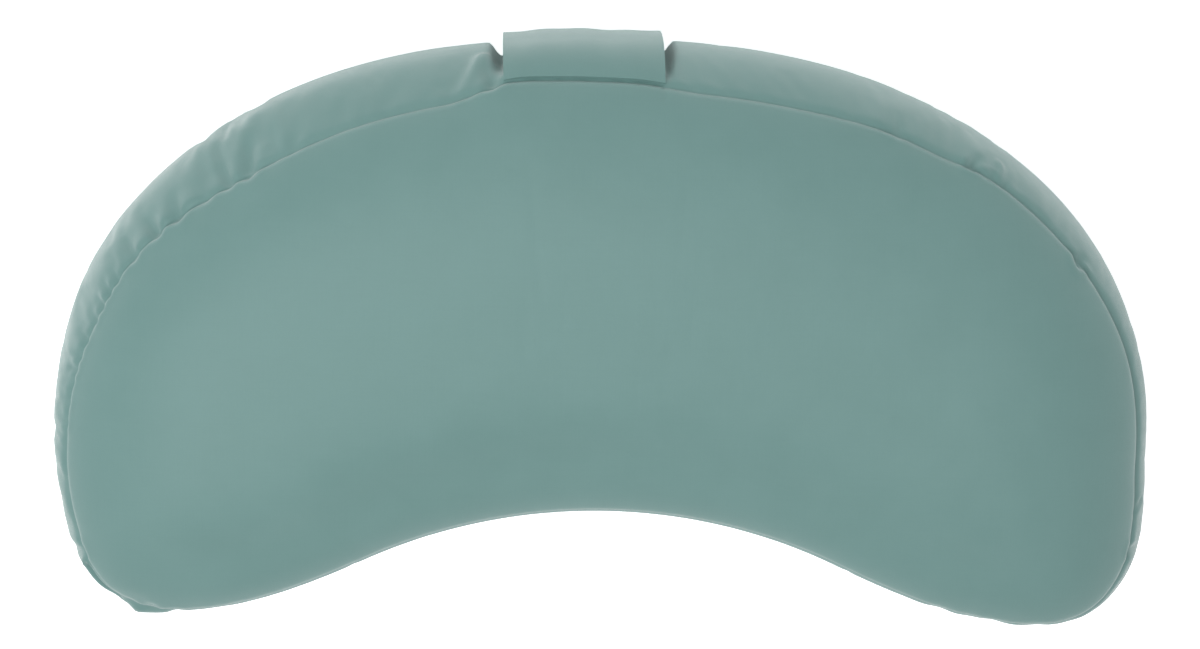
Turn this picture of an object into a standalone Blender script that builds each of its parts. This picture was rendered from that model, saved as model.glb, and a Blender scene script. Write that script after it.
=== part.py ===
"""Crescent support cushion: a zipped fabric cover with a carry strap over a hull-filled cotton liner.

It lies flat with +Z up. The hollow side faces -Y, the strap is on the +Y side, and +X runs along its length.
"""

import math

import bmesh
import bpy
import numpy as np

# Plan of the seam line, metres.
HALF_LENGTH = 0.2205
WIDEST_Y = -0.0470
BACK_DEPTH = 0.1545
BACK_ROUNDNESS = 2.22
FRONT_DEPTH = 0.0868
FRONT_ROUNDNESS = 4.7
FRONT_SCALE = 0.150
TIP_BLEND = 0.0600
HOLLOW_RADIUS = 0.2320
HOLLOW_TOP_Y = -0.0728
HOLLOW_CENTRE_Y = HOLLOW_TOP_Y - HOLLOW_RADIUS
PANEL_CENTRE_Y = 0.0113
SPINE_RADIUS = 0.2676
SPINE_CENTRE_Y = -0.2496
SPINE_ANGLE = math.radians(34.0)
SPINE_SHARE = 0.06

# Heights.
LOWER_SEAM = 0.0140
BAND_HEIGHT = 0.0860
UPPER_SEAM = LOWER_SEAM + BAND_HEIGHT
MIDDLE = (LOWER_SEAM + UPPER_SEAM) / 2
CROWN = 0.0240
FLAT_SHARE = 0.72

# Swell of the side band beyond the seam line.
OUTER_SWELL = 0.0140
HOLLOW_SWELL = 0.0050
SWELL_POWER = 2.4
SWELL_CHANGE = 0.085
TIP_END = 0.172

# Layers, each a distance in from the outside of the cover.
GAP = 0.0003
COVER_THICKNESS = 0.0010
LINER_CLEARANCE = 0.0004
LINER_THICKNESS = 0.0008
LINER_OUTSIDE = COVER_THICKNESS + LINER_CLEARANCE
LINER_INSIDE = LINER_OUTSIDE + LINER_THICKNESS
FILL_OUTSIDE = LINER_INSIDE + LINER_CLEARANCE
HOLLOW_SLACK = 0.0028

# Zip, which follows the hollow.
ZIP_PANEL_ANGLE = math.radians(27.0)
TAPE_ANGLE = math.radians(26.6)
CHAIN_ANGLE = math.radians(24.2)
CHAIN_GAP = 0.0016
COIL_HEIGHT = 0.0025
COIL_DEPTH = 0.0018
TAPE_HEIGHT = 0.0120
TAPE_THICKNESS = 0.0007
TAPE_CLEARANCE = 0.00055
TAPE_RADIUS = HOLLOW_RADIUS - HOLLOW_SWELL + COVER_THICKNESS + TAPE_CLEARANCE
STOP_LENGTH = 0.0026
SLIDER_LENGTH = 0.0084
SLIDER_HEIGHT = 0.0092
SLOT_CLEARANCE = 0.0008
SLOT_HALF = SLIDER_HEIGHT / 2 + SLOT_CLEARANCE
PLATE = 0.0011
POST = 0.0010
POST_LENGTH = 0.0032
WALL_SETBACK = 0.0005
CHAIN_CHAMFER = 0.0005
JOIN = 0.0002
PIN_RADIUS = 0.0005
KNUCKLE_RADIUS = 0.0013
KNUCKLE_LENGTH = 0.0036
KNUCKLE_CLEARANCE = 0.0004
LEG = 0.0009
LEG_HALF_HEIGHT = 0.0011
LEG_BEYOND_PIN = 0.0009
TAB_LENGTH = 0.0240
TAB_WIDTH = 0.0070
TAB_THICKNESS = 0.0011
TONGUE_THICKNESS = 0.0013
NECK_LENGTH = 0.0050
SLIDER_ANGLE = CHAIN_ANGLE - (SLIDER_LENGTH / 2 + GAP) / TAPE_RADIUS

# Carry strap.
STRAP_X = -0.0120
STRAP_WIDTH = 0.0660
STRAP_THICKNESS = 0.0022
STRAP_RISE = 0.0153
STRAP_POWER = 2.8
DENT_SHARE = 0.42
DENT_FADE = 0.0200

SIDE_STEPS = 48
HOLLOW_STEPS = 24
TURN_WEIGHT = 0.10
FABRIC = (0.196, 0.300, 0.285, 1)
COTTON = (0.72, 0.69, 0.61, 1)
HULLS = (0.075, 0.045, 0.028, 1)
NYLON = (0.150, 0.240, 0.228, 1)
METAL = (0.42, 0.43, 0.43, 1)


def start_empty():
    for obj in list(bpy.data.objects):
        bpy.data.objects.remove(obj, do_unlink=True)
    collection = bpy.data.collections.new("crescent_support_cushion")
    bpy.context.scene.collection.children.link(collection)
    return collection


PARTS = start_empty()


def material(name, colour, roughness, metallic=0.0):
    made = bpy.data.materials.new(name)
    made.use_nodes = True
    shader = made.node_tree.nodes["Principled BSDF"]
    shader.inputs["Base Color"].default_value = colour
    shader.inputs["Roughness"].default_value = roughness
    shader.inputs["Metallic"].default_value = metallic
    return made


def finish(name, bm, look):
    bmesh.ops.remove_doubles(bm, verts=bm.verts, dist=1e-6)
    bmesh.ops.triangulate(bm, faces=bm.faces, quad_method="SHORT_EDGE")
    bmesh.ops.recalc_face_normals(bm, faces=bm.faces)
    mesh = bpy.data.meshes.new(name)
    bm.to_mesh(mesh)
    bm.free()
    mesh.materials.append(look)
    obj = bpy.data.objects.new(name, mesh)
    PARTS.objects.link(obj)
    return obj


def smooth(value):
    value = np.clip(value, 0.0, 1.0)
    return value * value * (3 - 2 * value)


def plan_side(x, y):
    """Negative inside the seam line, positive outside it."""
    at_back = y > WIDEST_Y
    power = np.where(at_back, BACK_ROUNDNESS, FRONT_ROUNDNESS)
    depth = np.where(at_back, BACK_DEPTH, FRONT_DEPTH)
    reach = (np.abs(x) / HALF_LENGTH) ** power + (np.abs(y - WIDEST_Y) / depth) ** power
    outer = (reach ** (1 / power) - 1) * FRONT_SCALE
    hollow = HOLLOW_RADIUS - np.hypot(x, y - HOLLOW_CENTRE_Y)
    blend = np.maximum(TIP_BLEND - np.abs(outer - hollow), 0) ** 2 / (4 * TIP_BLEND)
    return np.maximum(outer, hollow) + blend


def seam_line(count=1440):
    """The seam line from the middle of the hollow round by +X: points, outward normals and lengths."""
    angle = -math.pi / 2 + np.arange(count) * 2 * math.pi / count
    way = np.stack([np.cos(angle), np.sin(angle)], 1)
    near = np.zeros(count)
    step = 0.002
    while True:
        x, y = ((near + step)[:, None] * way).T
        inside = plan_side(x, y + PANEL_CENTRE_Y) < 0
        if not inside.any():
            break
        near = np.where(inside, near + step, near)
    low, high = near, near + step
    for _ in range(24):
        middle = (low + high) / 2
        x, y = (middle[:, None] * way).T
        inside = plan_side(x, y + PANEL_CENTRE_Y) < 0
        low = np.where(inside, middle, low)
        high = np.where(inside, high, middle)
    points = low[:, None] * way + (0, PANEL_CENTRE_Y)
    along = np.roll(points, -1, 0) - np.roll(points, 1, 0)
    along /= np.linalg.norm(along, axis=1)[:, None]
    normals = np.stack([along[:, 1], -along[:, 0]], 1)
    steps = np.linalg.norm(np.roll(points, -1, 0) - points, axis=1)
    turns = np.arccos(np.clip((normals * np.roll(normals, -1, 0)).sum(1), -1, 1))
    length = np.concatenate([[0], np.cumsum(steps)])
    effort = np.concatenate([[0], np.cumsum(steps + TURN_WEIGHT * turns)])
    return np.concatenate([points, points[:1]]), np.concatenate([normals, normals[:1]]), length, effort


SEAM, NORMALS, LENGTH, EFFORT = seam_line()
PERIMETER = float(LENGTH[-1])
HOLLOW_END = HOLLOW_RADIUS * ZIP_PANEL_ANGLE


def stations_between(start, end, count):
    """Distances round the seam line, closer together where it turns sharply."""
    ends = np.interp([start, end], LENGTH, EFFORT)
    return np.interp(np.linspace(*ends, count + 1), EFFORT, LENGTH)


def seam_at(distance):
    distance %= PERIMETER
    point = [np.interp(distance, LENGTH, SEAM[:, i]) for i in (0, 1)]
    normal = [np.interp(distance, LENGTH, NORMALS[:, i]) for i in (0, 1)]
    return np.array(point), np.array(normal) / np.hypot(*normal)


def spine_near(point):
    """The nearest point of the arc that runs along the middle of the panels."""
    angle = math.atan2(point[0], point[1] - SPINE_CENTRE_Y)
    angle = min(max(angle, -SPINE_ANGLE), SPINE_ANGLE)
    return np.array((math.sin(angle), math.cos(angle))) * SPINE_RADIUS + (0, SPINE_CENTRE_Y)


def distance_at_back(x):
    half = len(LENGTH) // 2
    order = np.arange(half - 300, half + 300)
    order = order[np.argsort(SEAM[order, 0])]
    return float(np.interp(x, SEAM[order, 0], LENGTH[order]))


STRAP_AT = distance_at_back(STRAP_X)


def hollowness(distance):
    from_middle = min(distance % PERIMETER, -distance % PERIMETER)
    return 1 - smooth((from_middle - TIP_END) / SWELL_CHANGE)


def swell(distance):
    wide = HOLLOW_SWELL + (OUTER_SWELL - HOLLOW_SWELL) * (1 - hollowness(distance))
    beyond = abs(distance % PERIMETER - STRAP_AT) - STRAP_WIDTH / 2 - 0.002
    return wide * (1 - DENT_SHARE * (1 - smooth(beyond / DENT_FADE)))


def place(distance, share, inset, z, bulge, slack=0.0):
    """A point this share of the way from the spine to the seam line, with the side's bulge added."""
    point, normal = seam_at(distance)
    out = swell(distance) * bulge - inset - slack * hollowness(distance)
    base = spine_near(point)
    x, y = (point + normal * out - base) * share + base
    return x, y, z


def wrapped(name, look, profile, distances, ring, put=place, **settings):
    """The profile's stations carried round the seam line by a spin and then set in place."""
    whole = not ring
    steps = len(distances) - (0 if whole else 1)
    turn = 2 * math.pi if whole else math.pi
    bm = bmesh.new()
    verts = [bm.verts.new((1 + 0.01 * i, 0, 0)) for i in range(len(profile))]
    edges = [bm.edges.new(pair) for pair in zip(verts, verts[1:])]
    if ring:
        edges.append(bm.edges.new((verts[-1], verts[0])))
    bmesh.ops.spin(
        bm, geom=verts + edges, cent=(0, 0, 0), axis=(0, 0, 1), angle=turn, steps=steps, use_merge=whole
    )
    for vert in bm.verts:
        station = round((math.hypot(vert.co.x, vert.co.y) - 1) / 0.01)
        share = math.atan2(vert.co.y, vert.co.x) % (2 * math.pi) / turn
        index = round(share * steps) % (steps if whole else 2 * steps)
        vert.co = put(distances[index], *profile[station], **settings)
    bmesh.ops.remove_doubles(bm, verts=bm.verts, dist=1e-6)
    bmesh.ops.holes_fill(bm, edges=[edge for edge in bm.edges if edge.is_boundary], sides=0)
    return finish(name, bm, look)


def crown_height(share):
    return CROWN * (1 - share**3) ** 0.75


def sole_height(share):
    beyond = max(share - FLAT_SHARE, 0) / (1 - FLAT_SHARE)
    return (LOWER_SEAM - GAP / 2) * (1 - math.sqrt(max(1 - beyond * beyond, 0)))


def bulge(height):
    return 1 - abs(height) ** SWELL_POWER


TOP_SHARES = (SPINE_SHARE, 0.45, 0.72, 0.88, 0.96, 1)
SOLE_SHARES = (SPINE_SHARE, FLAT_SHARE, 0.86, 0.94, 0.985, 1)
SIDE_START = HOLLOW_END + GAP / 2
SIDE = stations_between(SIDE_START, PERIMETER - SIDE_START, SIDE_STEPS)
HOLLOW_ARC = np.linspace(GAP / 2 - HOLLOW_END, HOLLOW_END - GAP / 2, HOLLOW_STEPS + 1)
ALL_ROUND = np.concatenate([SIDE, HOLLOW_ARC[1:-1]])


def top_stations(inset):
    rim = UPPER_SEAM + GAP / 2
    return [(share, inset, rim - inset + crown_height(share), 0) for share in TOP_SHARES]


def sole_stations(inset):
    return [(share, inset, inset + sole_height(share), 0) for share in SOLE_SHARES]


def panel(name, look, stations, outside, inside, slack=0.0):
    outer = stations(outside)
    inner = stations(inside)
    inner[-1] = (1, inside, outer[-1][2], 0)
    return wrapped(name, look, outer + inner[::-1], ALL_ROUND, False, slack=slack)


def side_stations(inset, low, high, count):
    """Stations up the side from low to high, as shares of the half height either side of the middle."""
    half = BAND_HEIGHT / 2 - GAP / 2 - (inset if inset > COVER_THICKNESS else 0)
    heights = np.linspace(low, high, count)
    return [(1, inset, MIDDLE + half * height, bulge(height)) for height in heights]


def band(name, look, distances, outside, inside, low=-1.0, high=1.0, count=7, slack=0.0):
    profile = side_stations(outside, low, high, count)
    profile += [(1, inside, point[2], point[3]) for point in profile[::-1]]
    return wrapped(name, look, profile, distances, True, slack=slack)


def spun(name, look, profile, half_angle, centre_angle, steps):
    """A closed profile of (radius, height) points turned about the hollow's own centre."""
    bm = bmesh.new()
    start = math.pi / 2 + centre_angle - half_angle
    verts = [
        bm.verts.new((radius * math.cos(start), radius * math.sin(start) + HOLLOW_CENTRE_Y, z))
        for radius, z in profile
    ]
    edges = [bm.edges.new(pair) for pair in zip(verts, verts[1:] + verts[:1])]
    bmesh.ops.spin(
        bm,
        geom=verts + edges,
        cent=(0, HOLLOW_CENTRE_Y, 0),
        axis=(0, 0, 1),
        angle=2 * half_angle,
        steps=steps,
    )
    bmesh.ops.holes_fill(bm, edges=[edge for edge in bm.edges if edge.is_boundary], sides=0)
    return finish(name, bm, look)


def bar(inner, outer, low, high):
    return [(inner, MIDDLE + low), (outer, MIDDLE + low), (outer, MIDDLE + high), (inner, MIDDLE + high)]


def chamfered(inner, outer, low, high, cut):
    return [
        (inner + cut, MIDDLE + low),
        (outer, MIDDLE + low),
        (outer, MIDDLE + high),
        (inner + cut, MIDDLE + high),
        (inner, MIDDLE + high - cut),
        (inner, MIDDLE + low + cut),
    ]


def block(bm, low, high):
    """A cuboid between two corners."""
    size = [b - a for a, b in zip(low, high)]
    made = bmesh.ops.create_cube(bm, size=1)["verts"]
    bmesh.ops.scale(bm, vec=size, verts=made)
    bmesh.ops.translate(bm, vec=[(a + b) / 2 for a, b in zip(low, high)], verts=made)
    return made


def block_object(name, look, low, high):
    bm = bmesh.new()
    block(bm, low, high)
    return finish(name, bm, look)


def rod(name, look, radius, length, at, sides=16):
    """A cylinder along X."""
    bm = bmesh.new()
    bmesh.ops.create_cone(
        bm, cap_ends=True, segments=sides, radius1=radius, radius2=radius, depth=length
    )
    for vert in bm.verts:
        x, y, z = vert.co
        vert.co = (z + at[0], y + at[1], -x + at[2])
    return finish(name, bm, look)


def combine(obj, tool, operation):
    """The tool's shape joined to the object or cut from it, and the tool removed."""
    change = obj.modifiers.new(operation.lower(), "BOOLEAN")
    change.operation = operation
    change.solver = "EXACT"
    change.object = tool
    bpy.context.view_layer.update()
    result = bpy.data.meshes.new_from_object(obj.evaluated_get(bpy.context.evaluated_depsgraph_get()))
    obj.modifiers.clear()
    obj.data = result
    bpy.data.objects.remove(tool, do_unlink=True)


cover_look = material("cover_fabric", FABRIC, 0.85)
strap_look = material("strap_fabric", FABRIC, 0.85)
cotton_look = material("liner_cotton", COTTON, 0.9)
hull_look = material("hull_fill", HULLS, 0.8)
nylon_look = material("zip_nylon", NYLON, 0.45)
metal_look = material("slider_metal", METAL, 0.35, 1.0)

# Cover panels and side band.
panel("cover_top_panel", cover_look, top_stations, 0, COVER_THICKNESS)
panel("cover_bottom_panel", cover_look, sole_stations, 0, COVER_THICKNESS)
band("cover_outer_band", cover_look, SIDE, 0, COVER_THICKNESS)

# The hollow side is two strips with the zip between them.
slot = SLOT_HALF / (BAND_HEIGHT / 2 - GAP / 2)
band("zip_band_upper", cover_look, HOLLOW_ARC, 0, COVER_THICKNESS, low=slot, count=5)
band("zip_band_lower", cover_look, HOLLOW_ARC, 0, COVER_THICKNESS, high=-slot, count=5)

# Zip tapes and coils, one pair above the middle and one below it.
tape_front = TAPE_RADIUS
tape_back = TAPE_RADIUS + TAPE_THICKNESS
coil_back = tape_front - GAP
coil_front = coil_back - COIL_DEPTH
inner_edge = CHAIN_GAP / 2
coil_edge = inner_edge + COIL_HEIGHT
stop_angle = STOP_LENGTH / 2 / TAPE_RADIUS
stop_at = CHAIN_ANGLE + stop_angle + GAP / TAPE_RADIUS
for side, low, high in (
    ("upper", inner_edge, inner_edge + TAPE_HEIGHT),
    ("lower", -inner_edge - TAPE_HEIGHT, -inner_edge),
):
    spun(f"zipper_tape_{side}", nylon_look, bar(tape_front, tape_back, low, high), TAPE_ANGLE, 0, 28)
    low, high = (inner_edge, coil_edge) if side == "upper" else (-coil_edge, -inner_edge)
    section = chamfered(coil_front, coil_back, low, high, CHAIN_CHAMFER)
    spun(f"zipper_coil_{side}", nylon_look, section, CHAIN_ANGLE, 0, 32)
    spun(f"top_stop_{side}", metal_look, section, stop_angle, stop_at, 2)
section = chamfered(coil_front, coil_back, -coil_edge, coil_edge, CHAIN_CHAMFER)
spun("bottom_stop", metal_look, section, stop_angle, -stop_at, 2)

# Fabric tabs close the slot beyond the stops.
tab_from = stop_at + stop_angle + GAP / TAPE_RADIUS
tab_angle = (ZIP_PANEL_ANGLE - GAP / TAPE_RADIUS - tab_from) / 2
tab_section = bar(
    TAPE_RADIUS - TAPE_CLEARANCE - COVER_THICKNESS,
    TAPE_RADIUS - TAPE_CLEARANCE,
    -SLOT_HALF + GAP,
    SLOT_HALF - GAP,
)
spun("zip_end_tab_left", cover_look, tab_section, tab_angle, tab_from + tab_angle, 4)
spun("zip_end_tab_right", cover_look, tab_section, tab_angle, -tab_from - tab_angle, 4)

# Slider, made on the hollow's own axis: a plate either side of the chain, a post between them and a bridge.
front_low = coil_front - GAP - PLATE
back_low = tape_back + GAP
half_long = SLIDER_LENGTH / 2
half_high = SLIDER_HEIGHT / 2
slider = block_object(
    "zipper_slider",
    metal_look,
    (-half_long, front_low, -half_high),
    (half_long, coil_front - GAP, half_high),
)
pin_radius_at = front_low - KNUCKLE_RADIUS - KNUCKLE_CLEARANCE
leg_low = pin_radius_at - LEG_BEYOND_PIN
wall_back = tape_front - WALL_SETBACK
half_post = POST_LENGTH / 2
leg_in = KNUCKLE_LENGTH / 2 + GAP
for low, high in (
    ((-half_long, back_low, -half_high), (half_long, back_low + PLATE, half_high)),
    ((-half_post, front_low + JOIN, -POST / 2), (half_post, back_low + JOIN, POST / 2)),
    ((-half_long, front_low + JOIN, coil_edge + GAP), (half_long, wall_back, half_high)),
    ((-half_long, front_low + JOIN, -half_high), (half_long, wall_back, -coil_edge - GAP)),
    ((-leg_in - LEG, leg_low, -LEG_HALF_HEIGHT), (-leg_in, front_low + JOIN, LEG_HALF_HEIGHT)),
    ((leg_in, leg_low, -LEG_HALF_HEIGHT), (leg_in + LEG, front_low + JOIN, LEG_HALF_HEIGHT)),
):
    combine(slider, block_object("tool", metal_look, low, high), "UNION")
pin_length = 2 * leg_in + LEG
combine(slider, rod("tool", metal_look, PIN_RADIUS, pin_length, (0, pin_radius_at, 0)), "UNION")
slider.location = (0, HOLLOW_CENTRE_Y, MIDDLE)
slider.rotation_euler = (0, 0, SLIDER_ANGLE)

# Pull tab, made on its pin: a knuckle with a tapered tongue hanging from it.
tab = rod("zipper_pull_tab", metal_look, KNUCKLE_RADIUS, KNUCKLE_LENGTH, (0, 0, 0))
neck = KNUCKLE_LENGTH / 2 - JOIN
half_thick = TAB_THICKNESS / 2
half_tongue = TONGUE_THICKNESS / 2
half_wide = TAB_WIDTH / 2
tongue_top = 2 * JOIN - NECK_LENGTH
for low, high in (
    ((-neck, -half_thick, -NECK_LENGTH), (neck, half_thick, 0)),
    ((-half_wide, -half_tongue, -TAB_LENGTH), (half_wide, half_tongue, tongue_top)),
):
    combine(tab, block_object("tool", metal_look, low, high), "UNION")
bore = rod("tool", metal_look, PIN_RADIUS + GAP, KNUCKLE_LENGTH * 2, (0, 0, 0))
combine(tab, bore, "DIFFERENCE")
tab.parent = slider
tab.location = (0, pin_radius_at, 0)

# Liner and fill, kept clear of the slider along the hollow.
for name, stations in (("liner_top_panel", top_stations), ("liner_bottom_panel", sole_stations)):
    panel(name, cotton_look, stations, LINER_OUTSIDE, LINER_INSIDE, slack=HOLLOW_SLACK)
for name, distances in (("liner_outer_band", SIDE), ("liner_inner_band", HOLLOW_ARC)):
    band(name, cotton_look, distances, LINER_OUTSIDE, LINER_INSIDE, slack=HOLLOW_SLACK)
fill_side = side_stations(FILL_OUTSIDE, 2 / 3, -2 / 3, 5)
fill_profile = top_stations(FILL_OUTSIDE) + fill_side + sole_stations(FILL_OUTSIDE)[::-1]
wrapped("hull_fill", hull_look, fill_profile, ALL_ROUND, False, slack=HOLLOW_SLACK)


def put_strap(distance, out, z):
    point, normal = seam_at(distance)
    x, y = point + normal * out
    return x, y, z


# Carry strap, sewn at both seams and standing clear of the band between them.
strap_heights = np.linspace(-1, 1, 11)
strap_half = BAND_HEIGHT / 2 - GAP
inner_face = [
    (GAP + STRAP_RISE * (1 - abs(height) ** STRAP_POWER), MIDDLE + strap_half * height)
    for height in strap_heights
]
outer_face = [
    (GAP + STRAP_THICKNESS + STRAP_RISE * (1 - abs(height) ** STRAP_POWER), MIDDLE + strap_half * height)
    for height in strap_heights
]
wrapped(
    "carry_strap",
    strap_look,
    inner_face + outer_face[::-1],
    np.linspace(STRAP_AT - STRAP_WIDTH / 2, STRAP_AT + STRAP_WIDTH / 2, 9),
    True,
    put=put_strap,
)
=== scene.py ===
"""Crescent support cushion: its looks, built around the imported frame."""

import math

import bmesh
import bpy
import numpy as np
from mathutils import Matrix, Vector
from mathutils.kdtree import KDTree


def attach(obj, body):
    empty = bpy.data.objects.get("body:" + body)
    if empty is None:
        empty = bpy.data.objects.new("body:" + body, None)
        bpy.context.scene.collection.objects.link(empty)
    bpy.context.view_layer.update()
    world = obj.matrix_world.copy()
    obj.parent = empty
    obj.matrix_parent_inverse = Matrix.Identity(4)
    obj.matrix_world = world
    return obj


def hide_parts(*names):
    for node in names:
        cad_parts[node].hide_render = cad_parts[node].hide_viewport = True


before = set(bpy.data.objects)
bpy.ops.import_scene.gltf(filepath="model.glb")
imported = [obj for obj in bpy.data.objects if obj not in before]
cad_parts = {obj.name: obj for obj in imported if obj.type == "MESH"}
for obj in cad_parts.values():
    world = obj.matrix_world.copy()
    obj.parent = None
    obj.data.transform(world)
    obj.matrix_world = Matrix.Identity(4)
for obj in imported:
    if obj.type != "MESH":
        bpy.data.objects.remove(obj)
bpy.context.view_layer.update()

# Plan of the seam line and the cushion's heights, metres.
HALF_LENGTH, WIDEST_Y = 0.2205, -0.0470
BACK_DEPTH, BACK_POWER = 0.1545, 2.22
FRONT_DEPTH, FRONT_POWER, FRONT_SCALE = 0.0868, 4.7, 0.150
TIP_BLEND, HOLLOW_RADIUS, HOLLOW_TOP = 0.0600, 0.2320, -0.0728
HOLLOW_CENTRE = HOLLOW_TOP - HOLLOW_RADIUS
SPINE_RADIUS, SPINE_CENTRE, SPINE_ANGLE = 0.2676, -0.2496, math.radians(34.0)
LOWER_SEAM, UPPER_SEAM, CROWN, FLAT_SHARE = 0.0140, 0.1000, 0.0240, 0.72
MIDDLE, HALF_BAND = (LOWER_SEAM + UPPER_SEAM) / 2, (UPPER_SEAM - LOWER_SEAM) / 2
OUTER_SWELL, HOLLOW_SWELL, SWELL_POWER, SWELL_CHANGE, TIP_END = 0.0140, 0.0050, 2.4, 0.085, 0.172
HOLLOW_END = HOLLOW_RADIUS * math.radians(27.0)
HOLLOW_SLACK = 0.0028
STRAP_X, STRAP_WIDTH, STRAP_RISE, STRAP_POWER, STRAP_THICKNESS = -0.0120, 0.0660, 0.0153, 2.8, 0.0022
DENT_SHARE, DENT_FADE = 0.42, 0.005
COVER, LINER = 0.0010, 0.0008
LINER_INSET, FILL_INSET = 0.0016, 0.0036
SLOT_HALF = 0.0054
MM = 0.001

# Where sewing drew the top seam out (+) or in (-) from the plan, and where the whole side stands out or in:
# distance round the seam line from the middle of the hollow in metres, and millimetres outwards.
SEAM_DRAWN = (
    (0.190, 0.0), (0.225, 1.0), (0.265, 4.5), (0.330, 4.5), (0.364, 3.0), (0.385, 2.7), (0.426, 3.0),
    (0.447, 0.5), (0.475, 1.0), (0.510, -0.3), (0.553, -0.3), (0.575, 2.4), (0.628, 3.8), (0.640, 1.0),
    (0.650, -2.6), (0.690, -3.4), (0.735, -5.1), (0.756, -4.6), (0.782, -1.8), (0.802, 0.0), (0.835, 0.5),
    (0.868, 3.6), (0.895, 5.0), (0.915, 5.0), (0.950, 1.5), (0.985, 0.0),
)
SIDE_DRAWN = (
    (0.170, 0.0), (0.205, 2.4), (0.240, 2.4), (0.280, 0.0),
    (0.900, 0.0), (0.925, -2.6), (0.945, -2.4), (0.975, 0.0),
)

# Folds in the cloth: start and end as (distance round, drop below the top seam), then width and depth.
# Distances round are in metres, the rest in millimetres, and a negative depth is a raised fold.
FOLDS = [
    (0.7445, 0, 0.7385, 20, 3.2, 2.4), (0.7225, 2, 0.7170, 16, 3.0, 0.8), (0.7530, 0, 0.7545, 12, 2.8, 2.0),
    (0.7650, 0, 0.7640, 10, 2.6, 1.2), (0.7790, 0, 0.7760, 13, 2.8, 2.4), (0.7900, 0, 0.7895, 11, 2.6, 2.4),
    (0.8040, 0, 0.8030, 12, 2.6, 2.4),
    (0.4680, 0, 0.4690, 12, 2.2, 0.9), (0.4725, 0, 0.4735, 11, 1.8, 0.7), (0.4345, 1, 0.4325, 8, 2.0, 2.4),
    (0.4253, 3, 0.4215, -2, 1.0, 0.8), (0.4235, 12, 0.4210, 3, 1.8, -1.0), (0.4190, 1, 0.4190, 6, 2.0, 0.9),
    (0.3745, -1, 0.3735, 3, 2.6, 2.6), (0.3710, 2, 0.3640, 1, 1.6, -0.8), (0.2664, 7, 0.2616, -2, 1.2, 0.8),
    (0.9430, 3, 0.9610, 3, 1.2, 3.6), (0.9365, 0, 0.9365, 26, 2.4, 1.3), (0.9665, 0, 0.9665, 16, 2.2, 0.9),
    (0.9700, 6, 0.9800, 6, 5.0, -2.6), (0.9750, -3, 0.9750, 2, 2.0, 0.8), (0.9850, 0, 0.9850, 15, 2.5, 0.7),
    (0.6395, 24, 0.6500, -2, 2.8, -1.5), (0.6365, 1, 0.6358, 13, 3.0, 3.0),
    (0.5660, -1, 0.5655, -10, 1.0, 0.6), (0.2450, 0, 0.2450, 16, 2.0, 1.4),
]
FOLDS += [(at, 0, at - 0.0012, 7.5, 1.7, 1.6) for at in (0.8086, 0.8160, 0.8222, 0.8290, 0.8352, 0.8446)]
FOLDS += [(at, 0, at + 0.0010, 6.5, 1.7, 1.2) for at in (0.8518, 0.8572, 0.8630, 0.8717, 0.8800)]
TIP_FOLDS = ((0.152, 0.5), (0.167, 0.3), (0.176, 0.6), (0.195, 0.5), (0.206, 0.3))
FOLDS += [(at, 2, at, 24, 4.0, depth) for at, depth in TIP_FOLDS]


# ---------------------------------------------------------------- shape
def smooth(value):
    value = np.clip(value, 0.0, 1.0)
    return value * value * (3 - 2 * value)


def plan_side(x, y):
    """Negative inside the seam line, positive outside it."""
    back = y > WIDEST_Y
    power = np.where(back, BACK_POWER, FRONT_POWER)
    depth = np.where(back, BACK_DEPTH, FRONT_DEPTH)
    reach = (np.abs(x) / HALF_LENGTH) ** power + (np.abs(y - WIDEST_Y) / depth) ** power
    outer = (reach ** (1 / power) - 1) * FRONT_SCALE
    hollow = HOLLOW_RADIUS - np.hypot(x, y - HOLLOW_CENTRE)
    blend = np.maximum(TIP_BLEND - np.abs(outer - hollow), 0) ** 2 / (4 * TIP_BLEND)
    return np.maximum(outer, hollow) + blend


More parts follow.
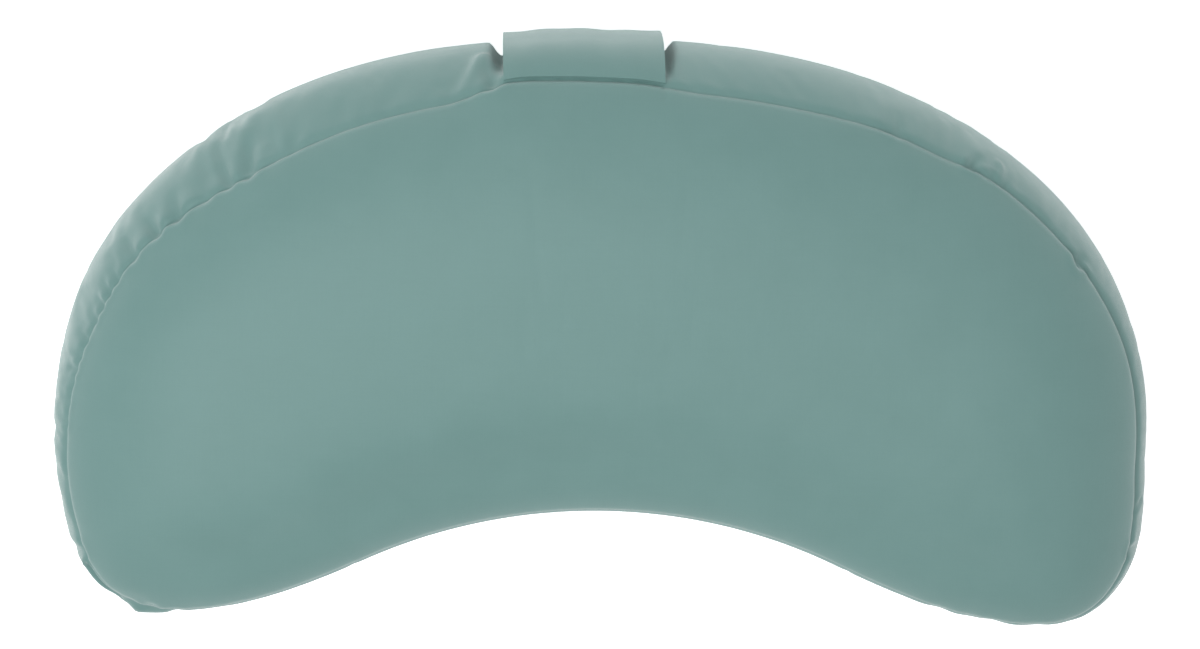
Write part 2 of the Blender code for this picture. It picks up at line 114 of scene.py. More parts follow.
class Plan:
    """Stations round the seam line, each paired with a point of the spine that its panel rows start from."""

    def __init__(self, along, fan):
        self.along, self.fan = along, fan
        sweep = np.linspace(-SPINE_ANGLE, SPINE_ANGLE, along)
        out = np.stack([np.sin(sweep), np.cos(sweep)], 1)
        spine = SPINE_RADIUS * out + (0, SPINE_CENTRE)
        turn = np.linspace(0, math.pi, fan + 2)[1:-1]
        right = turn - math.pi / 2 - SPINE_ANGLE
        left = turn + math.pi / 2 + SPINE_ANGLE
        ends = [np.stack([np.cos(angle), np.sin(angle)], 1) for angle in (right, left)]
        spread_end = [np.tile(spine[index], (fan, 1)) for index in (-1, 0)]
        self.base = np.concatenate([spine, spread_end[0], spine[::-1], spread_end[1]])
        way = np.concatenate([-out, ends[0], out[::-1], ends[1]])
        self.count = len(way)
        step = 0.002
        near = np.full(self.count, 0.02)
        for _ in range(90):
            ahead = self.base + (near + step)[:, None] * way
            near = np.where(plan_side(*ahead.T) < 0, near + step, near)
        low, high = near, near + step
        for _ in range(20):
            half = (low + high) / 2
            inside = plan_side(*(self.base + half[:, None] * way).T) < 0
            low, high = np.where(inside, half, low), np.where(inside, high, half)
        self.seam = self.base + low[:, None] * way
        tangent = np.roll(self.seam, -1, 0) - np.roll(self.seam, 1, 0)
        tangent /= np.linalg.norm(tangent, axis=1)[:, None]
        self.normal = np.stack([tangent[:, 1], -tangent[:, 0]], 1)
        steps = np.linalg.norm(np.roll(self.seam, -1, 0) - self.seam, axis=1)
        run = np.concatenate([[0], np.cumsum(steps)])
        self.perimeter = run[-1]
        middle = np.interp(0.0, self.seam[:along, 0], run[:along])
        self.distance = (run[:-1] - middle) % self.perimeter
        self.order = np.argsort(self.distance)

    def at(self, values, distance):
        """Values of the stations read at any distance round."""
        where = self.distance[self.order]
        return np.interp(distance % self.perimeter, where, values[self.order], period=self.perimeter)

    def join_spine(self, values):
        """The same value on both stations that start from one point of the spine."""
        along, fan = self.along, self.fan
        back = slice(along + fan, 2 * along + fan)
        shared = (values[:along] + values[back][::-1]) / 2
        values[:along], values[back] = shared, shared[::-1]
        values[along : along + fan], values[2 * along + fan :] = shared[-1], shared[0]
        return values


plan = Plan(320, 200)
coarse = Plan(110, 80)


def around(distance, at):
    """Signed distance round the seam line from a place on it."""
    return (distance - at + plan.perimeter / 2) % plan.perimeter - plan.perimeter / 2


FACING_BACK = 0.6


def at_back(x):
    """Distance round of the station on the convex side at the given x."""
    rows = np.nonzero(plan.normal[:, 1] > FACING_BACK)[0]
    rows = rows[np.argsort(plan.seam[rows, 0])]
    return float(np.interp(x, plan.seam[rows, 0], plan.distance[rows]))


STRAP_AT = at_back(STRAP_X)


def drawn(knots, distance, soft=0.006):
    """Metres outwards, read smoothly between the knots."""
    where, amount = np.array(knots).T
    shifts = soft * np.linspace(-1, 1, 7)[:, None]
    return np.interp(distance + shifts, where, amount, period=plan.perimeter).mean(0) * MM


def hollowness(distance):
    return 1 - smooth((np.abs(around(distance, 0)) - TIP_END) / SWELL_CHANGE)


def swell(distance):
    wide = HOLLOW_SWELL + (OUTER_SWELL - HOLLOW_SWELL) * (1 - hollowness(distance))
    beyond = np.abs(around(distance, STRAP_AT)) - STRAP_WIDTH / 2 - 0.0005
    return wide * (1 - DENT_SHARE * (1 - smooth(beyond / DENT_FADE)))


def seam_share(height):
    """How much of the top seam's drawing reaches each height of the band, from -1 to 1."""
    return smooth((height - 0.3) / 0.7)


def surface(p, rows):
    """Points of the skin. A row is 0 on the top's spine, 1 and 2 at the seams, 3 under the middle."""
    rows = np.asarray(rows)[:, None]
    base, seam, normal = p.base[None], p.seam[None], p.normal[None]
    share = np.where(rows < 1.5, rows, 3 - rows).clip(0, 1)
    height = (3 - 2 * rows).clip(-1, 1)
    bulge = np.where((rows >= 1) & (rows <= 2), 1 - np.abs(height) ** SWELL_POWER, 0)
    out = swell(p.distance)[None] * bulge + drawn(SIDE_DRAWN, p.distance)[None] * share**2
    out = out + drawn(SEAM_DRAWN, p.distance)[None] * seam_share(height) * share**3
    xy = base + (seam - base) * share[..., None] + normal * out[..., None]
    crown = CROWN * (1 - share**3) ** 0.75
    flat = ((share - FLAT_SHARE) / (1 - FLAT_SHARE)).clip(0, 1)
    sole = LOWER_SEAM * (1 - np.sqrt(1 - flat * flat))
    band = MIDDLE + HALF_BAND * height
    z = np.where(rows < 1, UPPER_SEAM + crown, np.where(rows > 2, sole, band))
    return np.concatenate([xy, (z + np.zeros_like(out))[..., None]], 2)


def skin_normals(points):
    across = np.roll(points, -1, 1) - np.roll(points, 1, 1)
    down = np.gradient(points, axis=0)
    normal = -np.cross(across, down)
    normal /= np.maximum(np.linalg.norm(normal, axis=2)[..., None], 1e-12)
    normal[0], normal[-1] = (0, 0, 1), (0, 0, -1)
    return normal


def panel_rows(count, ease):
    """Row values across a panel from 0 at the spine to 1 at the seam, closer together near the seam."""
    return 1 - (1 - np.linspace(0, 1, count)) ** ease


def band_rows(count):
    """Row values down the band from 1 to 2, closer together near both seams."""
    return 1.5 - 0.5 * np.sin(np.linspace(math.pi / 2, -math.pi / 2, count))


def all_rows(top, band, sole):
    return np.concatenate([panel_rows(top, 1.7), band_rows(band)[1:-1], 3 - panel_rows(sole, 1.6)[::-1]])


SLOT_SHARE = SLOT_HALF / (2 * HALF_BAND)
ROWS = np.sort(np.append(all_rows(40, 44, 28), (1.5 - SLOT_SHARE, 1.5 + SLOT_SHARE)))
TOP_SEAM, LOW_SEAM = (int(np.argmin(np.abs(ROWS - seam))) for seam in (1, 2))


# ---------------------------------------------------------------- meshes
INSIDE = Vector((0, 0.02, MIDDLE))


def to_object(name, bm):
    mesh = bpy.data.meshes.new(name)
    bm.to_mesh(mesh)
    bm.free()
    mesh.shade_smooth()
    obj = bpy.data.objects.new(name, mesh)
    bpy.context.scene.collection.objects.link(obj)
    return obj


def grid_piece(name, points, closed=True, uv=None):
    """A grid whose points are moved to the given rows of points, joined round when closed."""
    rows, columns = points.shape[:2]
    wide = columns if closed else columns - 1
    bm = bmesh.new()
    bmesh.ops.create_grid(bm, x_segments=wide, y_segments=rows - 1, size=0.5)
    layer = bm.loops.layers.uv.new("cloth")
    for face in bm.faces if uv else ():
        for loop in face.loops:
            j = round((loop.vert.co.x + 0.5) * wide)
            i = round((loop.vert.co.y + 0.5) * (rows - 1))
            loop[layer].uv = uv(i, j)
    for vert in bm.verts:
        j = round((vert.co.x + 0.5) * wide)
        i = round((vert.co.y + 0.5) * (rows - 1))
        vert.co = points[i, j % columns]
    bmesh.ops.remove_doubles(bm, verts=bm.verts, dist=2e-6)
    bmesh.ops.recalc_face_normals(bm, faces=bm.faces)
    for edge in bm.edges:
        edge.smooth = not edge.is_boundary
    return to_object(name, bm)


def face_away(obj):
    """Turns the mesh right side out when most of its faces look at the inside."""
    mesh = obj.data
    count = len(mesh.polygons)
    normal, middle = np.empty(count * 3), np.empty(count * 3)
    mesh.polygons.foreach_get("normal", normal)
    mesh.polygons.foreach_get("center", middle)
    away = (normal.reshape(-1, 3) * (middle.reshape(-1, 3) - INSIDE)).sum()
    if away < 0:
        mesh.flip_normals()


def thicken(obj, thickness):
    change = obj.modifiers.new("thickness", "SOLIDIFY")
    change.thickness = thickness
    change.offset = -1
    change.use_even_offset = False


# ---------------------------------------------------------------- cloth
SIM_ROWS = all_rows(20, 22, 12)
PRESSURE, FRAMES, SLACK_CLOTH, MOST_MOTION = 4.0, 20, 0.030, 0.006


def vertex_points(mesh):
    flat = np.empty(len(mesh.vertices) * 3)
    mesh.vertices.foreach_get("co", flat)
    return flat.reshape(-1, 3)


def inflated():
    """Offsets of the skin along its normals once pressure has filled the cover, at the sim's stations."""
    start = surface(coarse, SIM_ROWS)
    form = grid_piece("pressure_form", start)
    face_away(form)
    before = vertex_points(form.data)
    finder = KDTree(len(before))
    for index, point in enumerate(before):
        finder.insert(point, index)
    finder.balance()
    index = np.array([[finder.find(point)[1] for point in row] for row in start])
    pins = form.vertex_groups.new(name="sewn")
    seams = [int(np.argmin(np.abs(SIM_ROWS - seam))) for seam in (1, 2)]
    sewn = {int(v) for v in index[seams].ravel()} | {int(v) for v in index[SIM_ROWS > 2.3].ravel()}
    pins.add(sorted(sewn), 1.0, "REPLACE")
    cloth = form.modifiers.new("pressure", "CLOTH")
    cloth.settings.quality = 5
    cloth.settings.mass = 0.2
    cloth.settings.tension_stiffness = 12
    cloth.settings.compression_stiffness = 12
    cloth.settings.shear_stiffness = 4
    cloth.settings.bending_stiffness = 0.05
    cloth.settings.use_pressure = True
    cloth.settings.uniform_pressure_force = PRESSURE
    cloth.settings.effector_weights.gravity = 0
    cloth.settings.vertex_group_mass = "sewn"
    cloth.settings.shrink_min = -SLACK_CLOTH
    cloth.collision_settings.use_collision = False
    cloth.point_cache.frame_start, cloth.point_cache.frame_end = 1, FRAMES
    for number in range(1, FRAMES + 1):
        bpy.context.scene.frame_set(number)
    moved = form.evaluated_get(bpy.context.evaluated_depsgraph_get()).to_mesh()
    motion = (vertex_points(moved) - before)[index]
    bpy.context.scene.frame_set(1)
    bpy.data.objects.remove(form, do_unlink=True)
    return (motion * skin_normals(start)).sum(2)


EVEN = np.ones(41) / 41
# Share of the sim's creases that each stretch of the band keeps, and that the tightly filled top keeps.
GATHERED = (
    (0.12, 0.03), (0.30, 0.2), (0.40, 0.3), (0.45, 0.3), (0.62, 0.3),
    (0.70, 0.35), (0.74, 0.7), (0.88, 0.7), (0.93, 0.2), (1.05, 0.03),
)
PANEL_SHARE = 0.05
RISE, SAG, SAG_AT, SAG_WIDTH = 0.0030, 0.0026, 0.70, 0.17
SAG_END, SAG_FADE = 0.16, 0.10
SEAM_KEEPS, SEAM_REACH = 0.3, 0.003
# Share of a fold's depth lost by its end, and the raised cloth on both sides of it, in fold widths.
FOLD_FADE, BANK, BANK_AT = 0.6, 0.3, 2
SOLE_FROM, SOLE_FADE = 2.6, 0.5


def settled(offset):
    """The sim's offsets at the fine rows and stations, less the even swelling that the plan already holds."""
    rounds = [np.concatenate([row, row, row]) for row in offset]
    once = slice(offset.shape[1], -offset.shape[1])
    even = np.stack([np.convolve(ring, EVEN, "same")[once] for ring in rounds])
    crease = (offset - even).clip(-MOST_MOTION, MOST_MOTION)
    columns = np.stack([coarse.at(row, plan.distance) for row in crease])
    fine = np.stack([np.interp(ROWS, SIM_ROWS, column) for column in columns.T], 1)
    gathered = drawn(GATHERED, plan.distance)[None] / MM
    return fine * np.where(ROWS[:, None] < 1, PANEL_SHARE, gathered)


def pillowed():
    """The fill's own crown on the top panel, and its sag before the rim of the hollow side and the tips."""
    share = ROWS[:, None]
    hollow_side = 1 - smooth((np.abs(around(plan.distance, 0))[None] - SAG_END) / SAG_FADE)
    sag = SAG * np.exp(-(((share - SAG_AT) / SAG_WIDTH) ** 2)) * hollow_side
    return np.where(share < 1, RISE * (1 - share**2) ** 2 - sag, 0)


def folded(away, drop):
    """How far the folds sink the cloth, at each distance round and drop below the top seam."""
    sunk = np.zeros_like(drop)
    for from_away, from_drop, to_away, to_drop, width, depth in FOLDS:
        u, v = around(away, from_away), drop - from_drop * MM
        run, fall = float(around(to_away, from_away)), (to_drop - from_drop) * MM
        t = ((u * run + v * fall) / (run * run + fall * fall)).clip(0, 1)
        gap = np.hypot(u - t * run, v - t * fall) / (width * MM)
        trough = np.exp(-(gap**2)) * (1 - FOLD_FADE * t)
        banks = BANK * np.exp(-((gap - BANK_AT) ** 2)) * (1 - t)
        sunk += depth * MM * (trough - banks)
    return sunk * (SEAM_KEEPS + (1 - SEAM_KEEPS) * smooth(np.abs(drop) / SEAM_REACH))


# ---------------------------------------------------------------- materials
class Value:
    """A shader socket that takes ordinary arithmetic."""

    def __init__(self, look, socket):
        self.look, self.socket = look, socket

    def __add__(self, other):
        return self.look.math("ADD", self, other)

    def __sub__(self, other):
        return self.look.math("SUBTRACT", self, other)

    def __mul__(self, other):
        return self.look.math("MULTIPLY", self, other)

    def __rsub__(self, other):
        return self.look.math("SUBTRACT", other, self)

    __radd__ = __add__
    __rmul__ = __mul__

    def sin(self):
        return self.look.math("SINE", self)

    def abs(self):
        return self.look.math("ABSOLUTE", self)

    def clamped(self, low, high):
        return self.look.math("MINIMUM", self.look.math("MAXIMUM", self, low), high)


class Look:
    """One material and the nodes behind its principled shader."""

    def __init__(self, name, **fixed):
        self.material = bpy.data.materials.new(name)
        self.material.use_nodes = True
        self.tree = self.material.node_tree
        self.shader = self.tree.nodes["Principled BSDF"]
        for key, value in fixed.items():
            self.shader.inputs[key.replace("_", " ").title().replace("Ior", "IOR")].default_value = value

    def node(self, kind, settings=None, **sockets):
        made = self.tree.nodes.new(kind)
        for key, value in (settings or {}).items():
            setattr(made, key, value)
        for key, value in sockets.items():
            socket = made.inputs[int(key[1:])] if key[0] == "i" and key[1:].isdigit() else made.inputs[key]
            self.give(socket, value)
        return made

    def give(self, socket, value):
        if isinstance(value, Value):
            self.tree.links.new(value.socket, socket)
        elif isinstance(value, bpy.types.NodeSocket):
            self.tree.links.new(value, socket)
        else:
            socket.default_value = value

    def math(self, operation, *values):
        made = self.tree.nodes.new("ShaderNodeMath")
        made.operation = operation
        for socket, value in zip(made.inputs, values):
            self.give(socket, value)
        return Value(self, made.outputs[0])

    def place(self):
        return self.node("ShaderNodeTexCoord").outputs["Object"]

    def cloth(self):
        """Width and height along the piece's own cloth, in metres."""
        uv = self.node("ShaderNodeUVMap", {"uv_map": "cloth"}).outputs[0]
        apart = self.node("ShaderNodeSeparateXYZ", i0=uv)
        return uv, Value(self, apart.outputs[0]), Value(self, apart.outputs[1])

    def scaled(self, vector, scale):
        moved = self.node("ShaderNodeMapping", {"vector_type": "POINT"}, Vector=vector, Scale=scale)
        return moved.outputs[0]

    def noise(self, vector, scale, detail=2.0, roughness=0.5):
        made = self.node(
            "ShaderNodeTexNoise", Vector=vector, Scale=scale, Detail=detail, Roughness=roughness
        )
        return Value(self, made.outputs[0])

    def mix(self, factor, first, second):
        made = self.node("ShaderNodeMix", {"data_type": "RGBA", "blend_type": "MIX"})
        self.give(made.inputs[0], factor)
        self.give(made.inputs[6], first)
        self.give(made.inputs[7], second)
        return made.outputs[2]

    def colour(self, value):
        self.give(self.shader.inputs["Base Color"], value)

    def rough(self, value):
        self.give(self.shader.inputs["Roughness"], value)

    def bump(self, height, distance, strength=1.0):
        made = self.node("ShaderNodeBump", Strength=strength, Distance=distance)
        self.give(made.inputs["Height"], height)
        self.tree.links.new(made.outputs[0], self.shader.inputs["Normal"])


ROUGHNESS, WAVE = 0.60, 0.0003


def woven(name, light, dark, pitch, sheen=0.35):
    """A plain weave: crossing threads with slubs, a slow mottle and faint handling waves."""
    look = Look(name, sheen_weight=sheen, sheen_roughness=0.40, specular_ior_level=0.5)
    uv, across, along = look.cloth()
    turn = 2 * math.pi / pitch
    warp = (across * turn).sin()
    weft = (along * turn).sin()
    check = ((across * (turn / 2)).sin() * (along * (turn / 2)).sin()).clamped(-1, 1)
    weave = (warp.abs() * (0.5 + check * 0.5)) + (weft.abs() * (0.5 - check * 0.5))
    slub_a = look.noise(look.scaled(uv, (1 / 0.0006, 1 / 0.030, 1)), 1.0, 2.0)
    slub_b = look.noise(look.scaled(uv, (1 / 0.030, 1 / 0.0006, 1)), 1.0, 2.0)
    mottle = look.noise(look.place(), 38.0, 3.0, 0.6)
    fine = look.noise(look.place(), 900.0, 2.0, 0.6)
    tone = (
        0.5
        + (slub_a - 0.5) * 0.12
        + (slub_b - 0.5) * 0.12
        + (mottle - 0.5) * 0.5
        + (fine - 0.5) * 0.15
        + (weave - 0.5) * 0.12
    ).clamped(0, 1)
    look.colour(look.mix(tone, dark, light))
    look.rough(((mottle - 0.5) * 0.10 + (weave - 0.5) * -0.08 + ROUGHNESS).clamped(0.3, 1))
    waves = look.noise(look.place(), 75.0, 2.0, 0.5)
    look.bump(weave * 0.10 + slub_a * 0.04 + slub_b * 0.04 + fine * 0.06 + waves * 0.5, WAVE)
    return look.material


def linear(r, g, b):
    values = [c / 255 for c in (r, g, b)]
    return tuple(c / 12.92 if c < 0.04045 else ((c + 0.055) / 1.055) ** 2.4 for c in values) + (1,)


cover_look = woven("cover_fabric", linear(111, 146, 143), linear(95, 132, 128), 0.0006)
strap_look = woven("strap_fabric", linear(111, 146, 143), linear(95, 132, 128), 0.0006)
liner_look = woven("liner_cotton", linear(226, 218, 200), linear(205, 196, 176), 0.0008, sheen=0.1)
tape_look = woven("zip_tape", linear(104, 132, 128), linear(86, 114, 110), 0.0009, sheen=0.1)
thread_look = woven("sewing_thread", linear(122, 152, 149), linear(98, 128, 125), 0.0004, sheen=0.2)


def nylon():
    look = Look("coil_nylon", specular_ior_level=0.5)
    flow = look.noise(look.place(), 400.0, 2.0)
    look.colour(look.mix(flow, linear(84, 110, 106), linear(104, 132, 127)))
    look.rough(flow * 0.2 + 0.32)
    look.bump(flow, 0.00005)
    return look.material


def plated():
    look = Look("slider_metal", metallic=1.0)
    cast = look.noise(look.place(), 700.0, 3.0, 0.6)
    wear = look.noise(look.place(), 160.0, 3.0, 0.6)
    look.colour(look.mix(wear, linear(150, 152, 152), linear(186, 188, 187)))
    look.rough(cast * 0.14 + wear * 0.16 + 0.22)
    look.bump(cast, 0.00004)
    return look.material


def hulls():
    look = Look("hull_fill", specular_ior_level=0.4)
    cells = look.node("ShaderNodeTexVoronoi", {"feature": "F1"}, Vector=look.place(), Scale=230.0)
    pick = look.node("ShaderNodeSeparateColor", i0=cells.outputs["Color"])
    shade = Value(look, pick.outputs[0])
    edge = Value(look, cells.outputs["Distance"])
    look.colour(look.mix(shade, linear(38, 27, 20), linear(96, 70, 48)))
    look.rough(shade * 0.25 + 0.5)
    look.bump(1 - edge * 1.6, 0.0012)
    return look.material


coil_look, metal_look, hull_look = nylon(), plated(), hulls()


def dress(obj, material, body="cushion", nodes=()):
    obj.data.materials.clear()
    obj.data.materials.append(material)
    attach(obj, body)
    if nodes:
        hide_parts(*nodes)


# ---------------------------------------------------------------- cover
def run_length(points):
    """Distance down each column of the cloth."""
    steps = np.linalg.norm(np.diff(points, axis=0), axis=2)
    return np.concatenate([np.zeros((1, points.shape[1])), np.cumsum(steps, 0)])


def spread_low(offset, rows, columns):
    """The lowest offset within a few rows and columns, so that an inner layer stays under every trough."""
    low = offset.copy()
    for _ in range(columns):
        low = np.minimum(low, np.minimum(np.roll(low, 1, 1), np.roll(low, -1, 1)))
    for _ in range(rows):
        low[1:-1] = np.minimum(low[1:-1], np.minimum(low[2:], low[:-2]))
    return low


base_skin = surface(plan, ROWS)
NORMALS = skin_normals(base_skin)
depth_run = run_length(base_skin)
DROP = depth_run - depth_run[TOP_SEAM]
AWAY = np.broadcast_to(plan.distance, DROP.shape)
GROOVE, GROOVE_REACH, END_SEAM_SHARE = 0.0011, 0.0020, 0.25
seam_gaps = [(depth_run - depth_run[seam]) / GROOVE_REACH for seam in (TOP_SEAM, LOW_SEAM)]
groove = sum(np.exp(-(gap**2)) for gap in seam_gaps)
off_middle = around(plan.distance, 0)
end_seam = np.exp(-(((np.abs(off_middle) - HOLLOW_END) / GROOVE_REACH) ** 2))[None]
groove = np.maximum(groove, end_seam * ((ROWS > 1) & (ROWS < 2))[:, None] * END_SEAM_SHARE)
offset = pillowed() - folded(AWAY, DROP)
offset = offset + settled(inflated())
offset = offset * smooth((SOLE_FROM - ROWS) / SOLE_FADE)[:, None]
for edge in (0, -1):
    offset[edge] = plan.join_spine(offset[edge])
skin = base_skin + NORMALS * (offset - GROOVE * groove)[..., None]
skin[..., 2] = np.maximum(skin[..., 2], 0.0)
LOW_OFFSET = np.minimum(spread_low(offset - GROOVE * groove, 3, 4), 0)


def layer(inset):
    """The skin moved in by a layer's depth, measured from the lowest trough close by."""
    slack = inset + HOLLOW_SLACK * hollowness(plan.distance)[None]
    return base_skin + NORMALS * (LOW_OFFSET - slack)[..., None]


def rows_between(low, high):
    return np.nonzero((ROWS > low - 1e-9) & (ROWS < high + 1e-9))[0]


def panel_piece(name, source, low, high, thickness, material, nodes):
    points = source[rows_between(low, high)]
    piece = grid_piece(name, points, uv=lambda i, j: points[i, j % plan.count][:2])
    face_away(piece)
    thicken(piece, thickness)
    dress(piece, material, nodes=nodes)


def band_piece(name, source, columns, low, high, thickness, material, nodes):
    points = source[rows_between(low, high)][:, columns]
    drop = run_length(points)
    away = around(plan.distance[columns], plan.distance[columns[len(columns) // 2]])
    piece = grid_piece(name, points, closed=False, uv=lambda i, j: (away[j], drop[i, j]))
    face_away(piece)
    thicken(piece, thickness)
    dress(piece, material, nodes=nodes)


side_columns = np.nonzero(np.abs(off_middle) >= HOLLOW_END)[0]
side_columns = side_columns[np.argsort(plan.distance[side_columns])]
BAND_ENDS = off_middle[side_columns[0]], off_middle[side_columns[-1]]
hollow_columns = np.nonzero((off_middle <= max(BAND_ENDS)) & (off_middle >= min(BAND_ENDS)))[0]
hollow_columns = hollow_columns[np.argsort(off_middle[hollow_columns])]

for name, low, high in (("top_panel", 0, 1), ("bottom_panel", 2, 3)):
    panel_piece(f"{name}_cloth", skin, low, high, COVER, cover_look, [f"cover_{name}"])
    inner = layer(LINER_INSET)
    panel_piece(f"{name}_liner", inner, low, high, LINER, liner_look, [f"liner_{name}"])
for name, columns, low, high, node in (
    ("outer_band_cloth", side_columns, 1, 2, "cover_outer_band"),
    ("zip_strip_upper", hollow_columns, 1, 1.5 - SLOT_SHARE, "zip_band_upper"),
    ("zip_strip_lower", hollow_columns, 1.5 + SLOT_SHARE, 2, "zip_band_lower"),
):
    band_piece(name, skin, columns, low, high, COVER, cover_look, [node])
for name, columns in (("outer_band", side_columns), ("inner_band", hollow_columns)):
    inner = layer(LINER_INSET)
    band_piece(f"{name}_liner", inner, columns, 1, 2, LINER, liner_look, [f"liner_{name}"])

fill_piece = grid_piece("hull_filling", layer(FILL_INSET))
face_away(fill_piece)
dress(fill_piece, hull_look, nodes=["hull_fill"])


# ---------------------------------------------------------------- strap
STRAP_END_STAND, STRAP_END_POWER, STRAP_END_IN = 0.0009, 12, 0.0004
RIPPLE, FINE_RIPPLE = 0.0003, 0.00015


def strap():
    """A flat strap that stands off the band between the two seams that hold its ends."""
    across = np.linspace(-0.5, 0.5, 57)
    height = np.sin(np.linspace(math.pi / 2, -math.pi / 2, 61))
    where = STRAP_AT + across * STRAP_WIDTH
    point, normal = (
        np.stack([plan.at(values[:, k], where) for k in (0, 1)], 1) for values in (plan.seam, plan.normal)
    )
    normal = (normal + normal.mean(0) * 2) / 3
    top_seam = drawn(SEAM_DRAWN, where)[None] * seam_share(height)[:, None]
    sewn = np.abs(height) ** STRAP_END_POWER
    stand = STRAP_THICKNESS * (1 - sewn) + STRAP_END_STAND * sewn
    out = (STRAP_RISE * (1 - np.abs(height) ** STRAP_POWER) + stand)[:, None] + top_seam
    ripple = RIPPLE * np.sin(across * 9.0 + 0.6) + FINE_RIPPLE * np.sin(across * 23.0 + 2.0)
    lift = ripple * (1 - height**4)[:, None]
    z = MIDDLE + (HALF_BAND - STRAP_END_IN) * height
    xy = point[None] + normal[None] * (out + lift)[..., None]
    outside = np.concatenate([xy, np.broadcast_to(z[:, None, None], xy.shape[:2] + (1,))], 2)
    flat = across * STRAP_WIDTH
    piece = grid_piece("strap_cloth", outside, closed=False, uv=lambda i, j: (flat[j], z[i]))
    face_away(piece)
    thicken(piece, STRAP_THICKNESS)
    soften = piece.modifiers.new("soft_edge", "BEVEL")
    soften.width, soften.segments = 0.0007, 3
    soften.limit_method, soften.angle_limit = "ANGLE", math.radians(50)
    dress(piece, strap_look, nodes=["carry_strap"])


strap()

# ---------------------------------------------------------------- zip
WIRE, COIL_PITCH, LOOP_POINTS = 0.00027, 0.00125, 8
STITCH, STITCH_SPACE, THREAD, STITCH_INSET = 0.0024, 0.0009, 0.00024, 0.0021
CAST_EDGE = 0.00016


def arc_space(node):
    """The space that a zip piece fills round the hollow's centre: its radii, its angles and its heights."""
    points = np.array([vert.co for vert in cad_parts[node].data.vertices])
    x, y = points[:, 0], points[:, 1] - HOLLOW_CENTRE
    return [(values.min(), values.max()) for values in (np.hypot(x, y), np.arctan2(x, y), points[:, 2])]


def coil(side, hand):
    """One monofilament wound in loops along the tape, inside the bar that holds its place."""
    node = f"zipper_coil_{side}"
    radii, angles, heights = arc_space(node)
    radius, height = sum(radii) / 2, sum(heights) / 2
    deep, tall = (np.ptp(span) / 2 - WIRE for span in (radii, heights))
    turns = round(np.ptp(angles) * radius / COIL_PITCH)
    turn = np.arange(turns * LOOP_POINTS + 1) / LOOP_POINTS
    end = 2 * WIRE / radius
    angle = np.interp(turn, (0, turns), (angles[0] + end, angles[1] - end))
    out = radius - deep * np.cos(2 * math.pi * turn)
    rise = height + hand * tall * np.sin(2 * math.pi * turn)
    x, y = out * np.sin(angle), HOLLOW_CENTRE + out * np.cos(angle)
    points = np.stack([x, y, rise, np.ones(len(turn))], 1)
    curve = bpy.data.curves.new("wire", "CURVE")
    curve.dimensions = "3D"
    curve.bevel_depth, curve.bevel_resolution, curve.use_fill_caps = WIRE, 1, True
    spline = curve.splines.new("POLY")
    spline.points.add(len(points) - 1)
    spline.points.foreach_set("co", points.ravel())
    wire = bpy.data.objects.new("wire", curve)
    bpy.context.scene.collection.objects.link(wire)
    mesh = bpy.data.meshes.new_from_object(wire.evaluated_get(bpy.context.evaluated_depsgraph_get()))
    bm = bmesh.new()
    bm.from_mesh(mesh)
    bmesh.ops.remove_doubles(bm, verts=bm.verts, dist=1e-6)
    bmesh.ops.recalc_face_normals(bm, faces=bm.faces)
    bpy.data.objects.remove(wire)
    dress(to_object(f"coil_loops_{side}", bm), coil_look, nodes=[node])


def topstitching(side, row):
    """The stitches that hold the tape to a strip, just back from the strip's edge."""
    away = off_middle[hollow_columns]
    cloth, facing = (
        np.array([[np.interp(row, ROWS, grid[:, column, k]) for k in range(3)] for column in hollow_columns])
        for grid in (skin, NORMALS)
    )
    bm = bmesh.new()
    for at in np.arange(-HOLLOW_END + STITCH, HOLLOW_END - STITCH, STITCH + STITCH_SPACE):
        point, ahead, normal = (
            Vector([np.interp(where, away, values[:, k]) for k in range(3)])
            for values, where in ((cloth, at), (cloth, at + STITCH / 2), (facing, at))
        )
        along = (ahead - point).normalized()
        side_way = normal.cross(along).normalized()
        turned = Matrix((along, side_way, along.cross(side_way))).transposed().to_4x4()
        shape = Matrix.Diagonal((STITCH / 2, THREAD, THREAD, 1))
        bmesh.ops.create_uvsphere(
            bm, u_segments=6, v_segments=4, radius=1, matrix=Matrix.Translation(point) @ turned @ shape
        )
    dress(to_object(f"zip_stitching_{side}", bm), thread_look)


def eased(node, name, body):
    """A cast zip piece with its edges softened."""
    bm = bmesh.new()
    bm.from_mesh(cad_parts[node].data)
    bmesh.ops.remove_doubles(bm, verts=bm.verts, dist=1e-6)
    bmesh.ops.dissolve_limit(bm, angle_limit=math.radians(1), verts=bm.verts, edges=bm.edges)
    piece = to_object(name, bm)
    soften = piece.modifiers.new("soft_edge", "BEVEL")
    soften.width, soften.segments, soften.harden_normals = CAST_EDGE, 2, True
    soften.limit_method, soften.angle_limit = "ANGLE", math.radians(40)
    dress(piece, metal_look, body=body, nodes=[node])


for side, hand in (("upper", 1), ("lower", -1)):
    coil(side, hand)
    topstitching(side, 1.5 - hand * (SLOT_SHARE + STITCH_INSET / (2 * HALF_BAND)))
for node, name, body in (
    ("zipper_slider", "slider_body", "slider"),
    ("zipper_pull_tab", "slider_pull", "pull_tab"),
    ("top_stop_upper", "stop_upper", "cushion"),
    ("top_stop_lower", "stop_lower", "cushion"),
    ("bottom_stop", "stop_bottom", "cushion"),
):
    eased(node, name, body)
for node, look in (
    ("zip_end_tab_left", cover_look),
    ("zip_end_tab_right", cover_look),
    ("zipper_tape_upper", tape_look),
    ("zipper_tape_lower", tape_look),
):
    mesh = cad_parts[node].data
    mesh.materials.clear()
    mesh.materials.append(look)


# ---------------------------------------------------------------- studio
FLOOR_GLOW = 0.70


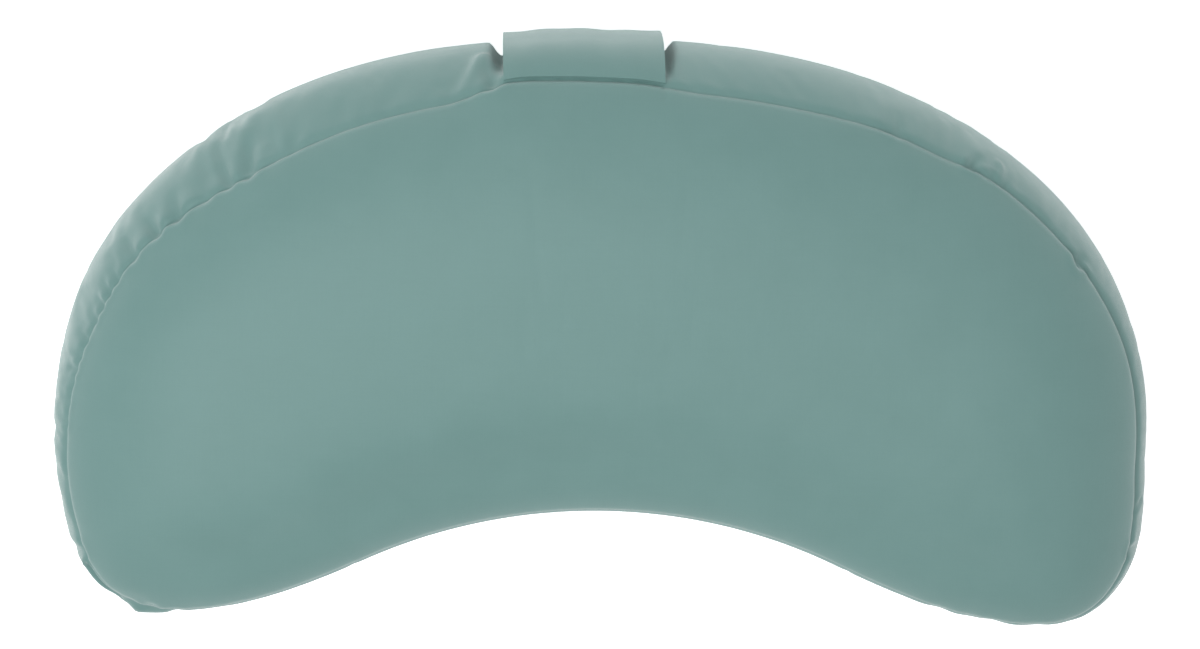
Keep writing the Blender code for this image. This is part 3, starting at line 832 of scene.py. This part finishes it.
def flat_look(name, colour, roughness):
    look = Look(name, roughness=roughness, emission_strength=FLOOR_GLOW)
    look.shader.inputs["Emission Color"].default_value = (1, 1, 1, 1)
    speck = look.noise(look.place(), 60.0, 2.0)
    look.colour(look.mix(speck, tuple(c * 0.995 for c in colour[:3]) + (1,), colour))
    return look.material


bm = bmesh.new()
bmesh.ops.create_grid(bm, x_segments=1, y_segments=1, size=3.0)
floor = to_object("studio_floor", bm)
floor.data.materials.append(flat_look("floor_white", (0.9, 0.9, 0.9, 1), 0.9))


def light(name, at, look_at, size, power):
    data = bpy.data.lights.new(name, "AREA")
    data.shape, data.size, data.energy = "DISK", size, power
    obj = bpy.data.objects.new(name, data)
    bpy.context.scene.collection.objects.link(obj)
    obj.location = at
    obj.rotation_euler = (Vector(look_at) - Vector(at)).to_track_quat("-Z", "Y").to_euler()


LIT = (0, 0, 0.05)
light("key_light", (-0.42, -0.08, 1.60), LIT, 0.8, 16.6)
light("back_light", (-0.7, 1.5, 1.0), LIT, 1.2, 1.5)
light("side_light", (1.5, 0.5, 0.9), LIT, 1.2, 1.5)
world = bpy.data.worlds.new("studio_world")
bpy.context.scene.world = world
world.use_nodes = True
surround = world.node_tree.nodes["Background"]
surround.inputs[0].default_value = (1, 1, 1, 1)
SURROUND_LIGHT = 0.46
surround.inputs[1].default_value = SURROUND_LIGHT

# ---------------------------------------------------------------- camera
TILT, SIDEWAYS, ROLL, REACH, FOCAL = 0.2180, -0.0336, 0.0251, 1.2, 2791.4
target = Vector((0, 0.0015, 0.060))
back = Vector((SIDEWAYS, math.sin(TILT), 0))
back.z = math.sqrt(1 - back.x**2 - back.y**2)
right = Vector((0, 1, 0)).cross(back).normalized()
up = back.cross(right)
right, up = right * math.cos(ROLL) + up * math.sin(ROLL), up * math.cos(ROLL) - right * math.sin(ROLL)
data = bpy.data.cameras.new("camera")
SENSOR, IMAGE_WIDTH = 36.0, 1200
data.sensor_width, data.lens = SENSOR, FOCAL * SENSOR / IMAGE_WIDTH
data.shift_x, data.shift_y = -0.0041, -0.0047
camera = bpy.data.objects.new("camera", data)
bpy.context.scene.collection.objects.link(camera)
place = Matrix((right, up, back)).transposed().to_4x4()
place.translation = target + back * REACH
camera.matrix_world = place
bpy.context.scene.camera = camera
bpy.context.scene.view_settings.view_transform = "Standard"
